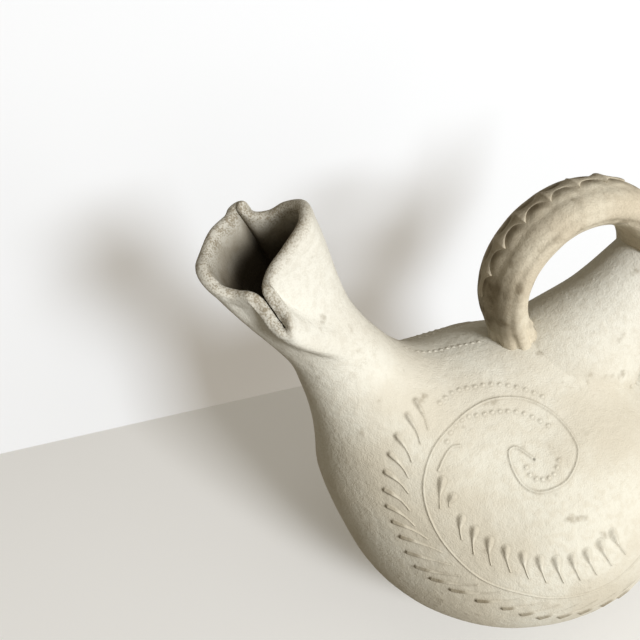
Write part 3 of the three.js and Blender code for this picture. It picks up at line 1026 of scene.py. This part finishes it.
@dataclass(frozen=True)
class LoopHandle:
    """The thick ribbed loop on the back, and the pinched strip over it."""

    vessel: Vessel
    centre: tuple[float, float, float] = (18.5, 0.0, 176.1)
    radius: float = 35.3
    width: float = 30.0
    thickness: float = 17.7
    ribs: int = 8
    flute_depth: float = 1.5
    flute_sharpness: float = 2.6
    flute_fade: float = 0.7
    foot_width: float = 19.0
    foot_reach: float = 34.0
    root_flare: float = 1.08
    root_smear: float = 1.2
    root_smear_height: float = 9.0
    leg_length: float = 20.0
    leg_degrees: float = 208.0
    end_degrees: float = 5.0
    rows: int = 180
    sides: int = 128
    strip_half_width: float = 1.6
    strip_pinch: float = 4.7
    strip_thickness: float = 1.5
    strip_lift: float = 0.25
    strip_shift: float = 3.6
    strip_spacing: float = 12.9
    strip_start: float = 186.0
    strip_end: float = 68.9
    strip_sides: int = 40

    @property
    def pinches(self) -> int:
        """How often the strip is pinched out to a point."""
        span = math.radians(self.strip_start - self.strip_end) * (self.radius + self.thickness / 2)
        return round(span / self.strip_spacing)

    def build(self) -> list[bpy.types.Object]:
        """Makes the loop and its strip and dresses them."""
        return [self._loop(), self._strip()]

    def _loop(self) -> bpy.types.Object:
        """The ribbed leg and loop, smeared into the body at its foot."""
        sweep = SweepTree("ribbed_loop", {
            "Centre X": self.centre[0], "Centre Z": self.centre[2], "Loop Radius": self.radius,
            "Leg Length": self.leg_length, "Leg Angle": math.radians(self.leg_degrees),
            "End Angle": math.radians(self.end_degrees), "Width": self.width, "Thickness": self.thickness,
            "Ribs": self.ribs, "Flute Depth": self.flute_depth, "Root Flare": self.root_flare,
            "Foot Width": self.foot_width, "Foot Reach": self.foot_reach,
        }, self.rows, self.sides)
        size = sweep.size
        loop = (size["Leg Angle"] - size["End Angle"]) * size["Loop Radius"]
        past = sweep.share * (loop + size["Leg Length"]) - size["Leg Length"]
        angle = size["Leg Angle"] - past.math("MAXIMUM", 0.0) / size["Loop Radius"]
        risen = ((past + size["Leg Length"]) / size["Foot Reach"]).math("MINIMUM", 1.0)
        risen = risen * risen * (risen * -2.0 + 3.0)
        wave = (sweep.turn * size["Ribs"]).math("COSINE") * -0.5 + 0.5
        flute = wave ** self.flute_sharpness * size["Flute Depth"] * (risen * -self.flute_fade + 1.0)
        middle = (sweep.share * 2.0 - 1.0).math("ABSOLUTE")
        grown = middle ** 6.0 * (size["Root Flare"] - 1.0) + 1.0
        grown = grown * (sweep.near_end() * (self.rows / 2)).math("MINIMUM", 1.0)
        thick = (size["Thickness"] * 0.5 - flute) * sweep.turn.math("SINE") * grown
        width = size["Foot Width"] + (size["Width"] - size["Foot Width"]) * risen
        wide = (width * 0.5 - flute) * sweep.turn.math("COSINE") * grown
        sweep.finish(angle, size["Loop Radius"] + thick, past.math("MINIMUM", 0.0), wide)
        vertices, faces = sweep.mesh()
        outward = unit((vertices - np.array(self.centre)) * (1.0, 0.0, 1.0))
        lift = soft_noise(vertices, 16.0, 5.3) * 0.45 + soft_noise(vertices, 5.0, 2.3) * 0.12
        vertices = vertices + outward * lift[:, None]
        above = np.clip(self.vessel.distance(vertices, 0.0) / self.root_smear_height, 0.0, 1.0)
        vertices = vertices + self._from_leg(vertices) * (self.root_smear * (1.0 - above)[:, None] ** 2)
        # Soil and painted shade, less where the foot meets the body.
        soil_and_shade = self._stain_and_shade(vertices) * (0.3 + 0.7 * above)
        clay = ClayMesh(vertices, faces, np.full(len(vertices), 0.6), soil_and_shade, np.zeros(len(vertices)))
        return dress("loop_handle", clay, HANDLE_CLAY, ("handle",))

    def _from_leg(self, points: np.ndarray) -> np.ndarray:
        """The way from the leg's middle line to each point, square to the leg."""
        turn = math.radians(self.leg_degrees)
        outward = np.array([math.cos(turn), 0.0, math.sin(turn)])
        along = np.array([outward[2], 0.0, -outward[0]])
        offset = points - np.array(self.centre) - outward * self.radius
        return unit(offset - (offset @ along)[:, None] * along)

    def _stain_and_shade(self, points: np.ndarray) -> np.ndarray:
        """Soil and painted shade on the loop: painted shade with some soil in the strip's hollows and down its front.
        """
        offset = points - np.array(self.centre)
        degrees = np.degrees(np.arctan2(offset[:, 2], offset[:, 0])) % 360.0
        degrees = np.where(degrees > 300.0, degrees - 360.0, degrees)
        turn = math.radians(self.leg_degrees)
        along_leg = offset @ np.array([math.cos(turn), 0.0, math.sin(turn)])
        from_loop = np.linalg.norm(offset[:, [0, 2]], axis=1)
        away = np.where(degrees > self.leg_degrees, along_leg, from_loop) - self.radius
        outer = smooth_step((away + 2.0) / 8.0)
        share = (self.strip_start - degrees) / (self.strip_start - self.strip_end)
        pinch = 1.0 - np.abs(np.sin(np.pi * self.pinches * share))
        edge = self.strip_half_width + self.strip_pinch * pinch
        past = np.abs(points[:, 1] - self.strip_shift) - edge
        # Painted shade with some soil in the hollows beside the strip, least at the pinched points.
        hollow = smooth_step(1.0 - np.abs(past - 1.0) / 5.0) * (1.0 - 0.8 * pinch) * outer
        # Darker down the loop's front: partly soil, partly painted shade on the side that faces away from the lamp.
        front = smooth_step((degrees - 150.0) / 30.0) * outer * 0.8
        return np.clip(np.maximum(hollow, front) + 0.05, 0.0, 1.0)

    def _strip(self) -> bpy.types.Object:
        """The strip, bent over the loop and pinched out to a point again and again."""
        rows = self.pinches * 30
        sweep = SweepTree("pinched_strip", {
            "Centre X": self.centre[0], "Centre Z": self.centre[2], "Loop Radius": self.radius,
            "Start Angle": math.radians(self.strip_start), "End Angle": math.radians(self.strip_end),
            "Width": self.width, "Thickness": self.thickness, "Pinches": self.pinches,
            "Half Width": self.strip_half_width, "Pinch": self.strip_pinch, "Lift": self.strip_lift,
            "Strip Thickness": self.strip_thickness, "Shift": self.strip_shift,
        }, rows, self.strip_sides)
        size = sweep.size
        angle = size["Start Angle"] + (size["End Angle"] - size["Start Angle"]) * sweep.share
        wave = (size["Pinches"] * sweep.share * math.pi).math("SINE").math("ABSOLUTE")
        pinch = (wave * -1.0 + 1.0) ** 1.3
        end = (sweep.near_end() * 25.0).math("MINIMUM", 1.0) ** 0.5
        cosine = sweep.turn.math("COSINE")
        sine = sweep.turn.math("SINE")
        reached = size["Pinch"] * pinch * (cosine * -0.25 + 0.75)
        sideways = size["Shift"] + (size["Half Width"] + reached) * end * cosine
        fall = (sideways * 2.0 / size["Width"]) ** 2.0
        bend = (fall * -1.0 + 1.0).math("SQRT") * size["Thickness"] * 0.5
        body = sine.math("ABSOLUTE") ** 0.7 * sine.math("SIGN") * size["Strip Thickness"]
        body = body * (pinch * 0.7 + 0.3)
        tip = cosine.math("ABSOLUTE") ** 3.0 * pinch * size["Lift"]
        reach = size["Loop Radius"] + bend + (body + tip) * end
        sweep.finish(angle, reach, sweep.share * 0.0, sideways)
        vertices, faces = sweep.mesh()
        lift = soft_noise(vertices, 9.0, 8.4) * 0.3
        vertices = vertices + unit((vertices - np.array(self.centre)) * (1.0, 0.0, 1.0)) * lift[:, None]
        beside = np.abs(vertices[:, 1] - self.strip_shift) / (self.strip_half_width + self.strip_pinch)
        clay = ClayMesh(vertices, faces, np.full(len(vertices), 0.5), 0.15 + 0.35 * (1.0 - beside),
                        np.zeros(len(vertices)))
        return dress("handle_strip", clay, HANDLE_CLAY, ("handle_crest",))


@dataclass(frozen=True)
class Tail:
    """The flattened tail that rises behind the handle."""

    vessel: Vessel
    start: tuple[float, float, float] = (3.0, 0.0, 112.0)
    bend: tuple[float, float, float] = (58.0, 0.0, 156.0)
    tip: tuple[float, float, float] = (100.0, 0.0, 244.0)
    root_half_height: float = 36.5
    root_half_width: float = 33.0
    tip_half_height: float = 12.0
    tip_half_width: float = 5.0
    round_from: float = 0.7
    root_smear: float = 3.0
    root_smear_height: float = 14.0
    rows: int = 110
    sides: int = 128

    def build(self) -> bpy.types.Object:
        """Makes the tail's mesh and dresses it."""
        start, bend, tip = (np.array(point) for point in (self.start, self.bend, self.tip))
        rings = []
        middles = []
        for row in range(self.rows + 1):
            share = math.sin(math.pi / 2 * row / self.rows) * 0.4 + 0.6 * row / self.rows
            beyond = max(share - self.round_from, 0.0) / (1 - self.round_from)
            rounding = math.sqrt(max(1 - beyond * beyond, 0.0004))
            high = (self.root_half_height + (self.tip_half_height - self.root_half_height) * share) * rounding
            wide = (self.root_half_width + (self.tip_half_width - self.root_half_width) * share) * rounding
            along = unit((bend - start) * (1 - share) + (tip - bend) * share)
            across = np.array([-along[2], 0.0, along[0]])
            middle = start * (1 - share) ** 2 + bend * 2 * share * (1 - share) + tip * share**2
            ring = []
            for side in range(self.sides):
                turn = 2 * math.pi * side / self.sides
                ring.append(middle + across * high * math.sin(turn) + np.array([0.0, wide * math.cos(turn), 0.0]))
            rings.append(ring)
            middles.append([middle] * self.sides)
        vertices = np.array(rings).reshape(-1, 3)
        above = np.clip(self.vessel.distance(vertices, 0.0) / self.root_smear_height, 0.0, 1.0)
        outward = unit(vertices - np.array(middles).reshape(-1, 3))
        vertices = vertices + outward * (self.root_smear * (1.0 - above)[:, None] ** 2)
        vertices = vertices + np.array([0.0, 1.0, 0.0]) * (soft_noise(vertices, 24.0, 9.1) * 0.5)[:, None]
        faces = ring_faces(len(rings), self.sides, closed=False)
        faces.append(tuple(reversed(range(self.sides))))
        last = self.rows * self.sides
        faces.append(tuple(range(last, last + self.sides)))
        even = np.ones(len(vertices))
        return dress("tail", ClayMesh(vertices, faces, even * 0.1, even * 0.0, even * 0.0), BODY_CLAY, ("tail",))


@dataclass(frozen=True)
class Studio:
    """The floor, the wall behind, the lights and the camera, in metres."""

    aim: tuple[float, float, float] = (-0.0988, 0.0, 0.1749)
    distance: float = 0.280
    azimuth: float = -17.0
    elevation: float = 33.0
    lens: float = 39.375
    wall_y: float = 0.178
    wall_turn: float = 0.053

    def build(self) -> None:
        """Sets up all of it."""
        self._camera()
        self._sheet("floor", [(-4, -4, 0), (4, -4, 0), (4, 4, 0), (-4, 4, 0)], (0.78, 0.785, 0.79), (0.14, 0.134, 0.12))
        near = self.wall_y - 2.4 * self.wall_turn
        far = self.wall_y + 2.4 * self.wall_turn
        self._sheet("backdrop", [(-2.4, near, 0), (2.4, far, 0), (2.4, far, 2.6), (-2.4, near, 2.6)],
                    (0.545, 0.58, 0.63), (0.285, 0.258, 0.222))
        self._lamp("key", (0.600, -2.091, 1.114), 0.69, 66.0, (0.98, 0.99, 1.0))
        self._lamp("top", (0.1, -0.1, 1.3), 0.8, 1.0, (1.0, 0.97, 0.92))
        self._lamp("fill", (1.3, -1.5, 0.35), 1.0, 8.0, (1.0, 0.97, 0.92))
        world = bpy.data.worlds.new("soft_room")
        world.use_nodes = True
        ground = world.node_tree.nodes["Background"]
        ground.inputs["Color"].default_value = (1.0, 0.88, 0.68, 1.0)
        ground.inputs["Strength"].default_value = 0.235
        bpy.context.scene.world = world
        bpy.context.scene.view_settings.view_transform = "Standard"

    def _camera(self) -> None:
        """The photograph's camera."""
        data = bpy.data.cameras.new("camera")
        data.sensor_width = 36.0
        data.lens = self.lens
        turn = math.radians(self.azimuth)
        rise = math.radians(self.elevation)
        back = Vector((math.sin(turn) * math.cos(rise), -math.cos(turn) * math.cos(rise), math.sin(rise)))
        camera = bpy.data.objects.new("camera", data)
        camera.location = Vector(self.aim) + back * self.distance
        camera.rotation_euler = back.to_track_quat("Z", "Y").to_euler()
        bpy.context.scene.collection.objects.link(camera)
        bpy.context.scene.camera = camera

    @staticmethod
    def _sheet(name: str, corners: list[tuple[float, float, float]], colour: tuple[float, float, float],
               glow: tuple[float, float, float]) -> None:
        """A flat plain surface that isn't part of the object, with a faint glow that lifts its shadows."""
        mesh = bpy.data.meshes.new(name)
        mesh.from_pydata(corners, [], [(0, 1, 2, 3)])
        paint = bpy.data.materials.new(name + "_paint")
        paint.use_nodes = True
        shader = paint.node_tree.nodes["Principled BSDF"]
        shader.inputs["Base Color"].default_value = (*colour, 1.0)
        shader.inputs["Roughness"].default_value = 0.95
        shader.inputs["Emission Color"].default_value = (*glow, 1.0)
        shader.inputs["Emission Strength"].default_value = 1.0
        mesh.materials.append(paint)
        sheet = bpy.data.objects.new(name, mesh)
        bpy.context.scene.collection.objects.link(sheet)
        sheet.visible_diffuse = False

    @staticmethod
    def _lamp(name: str, place: tuple[float, float, float], size: float, power: float,
              colour: tuple[float, float, float]) -> None:
        """A soft square lamp that faces the pitcher."""
        data = bpy.data.lights.new(name, "AREA")
        data.size = size
        data.energy = power
        data.color = colour
        lamp = bpy.data.objects.new(name, data)
        lamp.location = place
        lamp.rotation_euler = (Vector(place) - Vector((0.0, 0.0, 0.1))).to_track_quat("Z", "Y").to_euler()
        bpy.context.scene.collection.objects.link(lamp)


def main() -> None:
    """Builds the studio and every piece."""
    logging.basicConfig(level=logging.INFO)
    Studio().build()
    vessel = Vessel()
    Belly(vessel, FlankOrnament(vessel)).build()
    Spout(vessel).build()
    LoopHandle(vessel).build()
    Tail(vessel).build()


if __name__ == "__main__":
    main()
